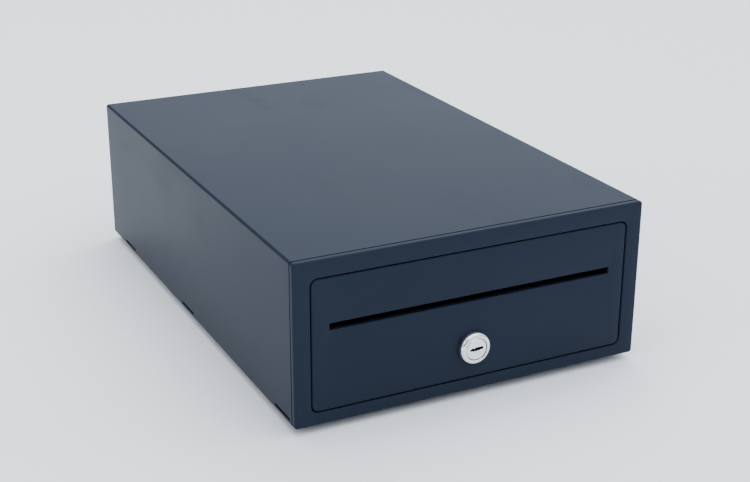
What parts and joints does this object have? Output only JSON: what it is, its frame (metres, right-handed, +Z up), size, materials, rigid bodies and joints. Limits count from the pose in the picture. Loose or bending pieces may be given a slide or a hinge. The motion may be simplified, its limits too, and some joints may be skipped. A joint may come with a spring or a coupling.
{
  "type": "cash drawer",
  "caption": "Compact steel cash drawer with a bezelled sliding front, key lock, media slot, ball slides, note and coin till and an electric latch.",
  "frame": {"origin": "middle of the footprint, on the surface that the rubber feet stand on", "axes": "+Z up, -Y out of the drawer front (the drawer opens along -Y), +X to the right seen from the front"},
  "size_m": [0.24, 0.365, 0.11],
  "materials": {
    "painted_shell": "satin blue-black enamel, fine texture",
    "zinc_steel": "zinc-plated, slightly dull",
    "screw_steel": "plated screw steel",
    "lock_chrome": "polished chrome",
    "spring_steel": "bright spring steel",
    "cage_brass": "dull brass",
    "till_plastic": "black moulded plastic, fine grain",
    "black_plastic": "black engineering plastic",
    "foot_rubber": "matt black rubber",
    "coil_copper": "lacquered winding under clear tape",
    "wire_red": "insulated wire"
  },
  "bodies": {
    "case": {"cover": "painted_shell", "base_pan": "painted_shell", "rear_panel": "painted_shell", "front_bezel": "painted_shell", "rail_bracket_left": "zinc_steel", "rail_bracket_right": "zinc_steel", "outer_rail_left": "zinc_steel", "outer_rail_right": "zinc_steel", "rubber_foot_1": "foot_rubber", "rubber_foot_2": "foot_rubber", "rubber_foot_3": "foot_rubber", "rubber_foot_4": "foot_rubber", "foot_screw_1": "screw_steel", "foot_screw_2": "screw_steel", "foot_screw_3": "screw_steel", "foot_screw_4": "screw_steel", "cover_screw_1": "screw_steel", "cover_screw_2": "screw_steel", "cover_screw_3": "screw_steel", "cover_screw_4": "screw_steel", "latch_bracket": "zinc_steel", "latch_pivot": "zinc_steel", "solenoid_frame": "zinc_steel", "solenoid_coil": "coil_copper", "switch_body": "black_plastic", "kick_post": "zinc_steel", "kick_spring": "spring_steel", "cable_socket": "black_plastic", "wire_harness": "wire_red", "latch_spring": "spring_steel"},
    "drawer": {"drawer_front": "painted_shell", "drawer_tray": "painted_shell", "inner_rail_left": "zinc_steel", "inner_rail_right": "zinc_steel", "till_insert": "till_plastic", "coin_tray": "till_plastic", "clip_axle": "spring_steel", "clip_spring_1": "spring_steel", "clip_spring_2": "spring_steel", "clip_spring_3": "spring_steel", "strike_bracket": "zinc_steel", "lever_pivot": "zinc_steel", "lock_housing": "lock_chrome", "lock_nut": "zinc_steel"},
    "cage_left": {"ball_cage_left": "cage_brass"},
    "cage_right": {"ball_cage_right": "cage_brass"},
    "lock_core": {"lock_plug": "lock_chrome", "lock_cam": "zinc_steel", "cam_screw": "screw_steel"},
    "lever": {"release_lever": "zinc_steel"},
    "latch": {"latch_lever": "zinc_steel"},
    "plunger": {"solenoid_plunger": "zinc_steel"},
    "switch_arm": {"switch_lever": "spring_steel"},
    "clip_1": {"note_clip_1": "spring_steel"},
    "clip_2": {"note_clip_2": "spring_steel"},
    "clip_3": {"note_clip_3": "spring_steel"}
  },
  "joints": [
    {"name": "drawer_slide", "type": "slide", "parent": "case", "child": "drawer", "axis": [0, -1, 0], "range_m": [0, 0.25]},
    {"name": "cage_left_slide", "type": "slide", "parent": "case", "child": "cage_left", "axis": [0, -1, 0], "range_m": [0, 0.125]},
    {"name": "cage_right_slide", "type": "slide", "parent": "case", "child": "cage_right", "axis": [0, -1, 0], "range_m": [0, 0.125]},
    {"name": "lock_turn", "type": "hinge", "parent": "drawer", "child": "lock_core", "pos_m": [-0.001, -0.17, 0.0346], "axis": [0, 1, 0], "range_deg": [-45, 45]},
    {"name": "lever_swing", "type": "hinge", "parent": "drawer", "child": "lever", "pos_m": [-0.001, -0.005, 0.0174], "axis": [0, 0, 1], "range_deg": [-3.3, 3.3]},
    {"name": "latch_turn", "type": "hinge", "parent": "case", "child": "latch", "pos_m": [-0.014, 0.17, 0.03025], "axis": [0, 0, 1], "range_deg": [0, 25], "stiffness_Nm_per_rad": 0.02, "deforming": ["latch_spring"]},
    {"name": "plunger_slide", "type": "slide", "parent": "case", "child": "plunger", "axis": [1, 0, 0], "range_m": [0, 0.0065]},
    {"name": "switch_travel", "type": "hinge", "parent": "case", "child": "switch_arm", "pos_m": [0.027, 0.1495, 0.026], "axis": [0, 0, -1], "range_deg": [0, 5], "stiffness_Nm_per_rad": 0.01},
    {"name": "clip_lift_1", "type": "hinge", "parent": "drawer", "child": "clip_1", "pos_m": [-0.067, 0.108, 0.08], "axis": [-1, 0, 0], "range_deg": [0, 55], "stiffness_Nm_per_rad": 0.15, "springref_deg": -20.05},
    {"name": "clip_lift_2", "type": "hinge", "parent": "drawer", "child": "clip_2", "pos_m": [0, 0.108, 0.08], "axis": [-1, 0, 0], "range_deg": [0, 55], "stiffness_Nm_per_rad": 0.15, "springref_deg": -20.05},
    {"name": "clip_lift_3", "type": "hinge", "parent": "drawer", "child": "clip_3", "pos_m": [0.067, 0.108, 0.08], "axis": [-1, 0, 0], "range_deg": [0, 55], "stiffness_Nm_per_rad": 0.15, "springref_deg": -20.05}
  ],
  "couplings": [
    {"joint": "cage_left_slide", "follows": "drawer_slide", "ratio": 0.5},
    {"joint": "cage_right_slide", "follows": "drawer_slide", "ratio": 0.5},
    {"joint": "lever_swing", "follows": "lock_turn", "ratio": -0.06919},
    {"joint": "plunger_slide", "follows": "latch_turn", "m_per_rad": 0.01442}
  ]
}
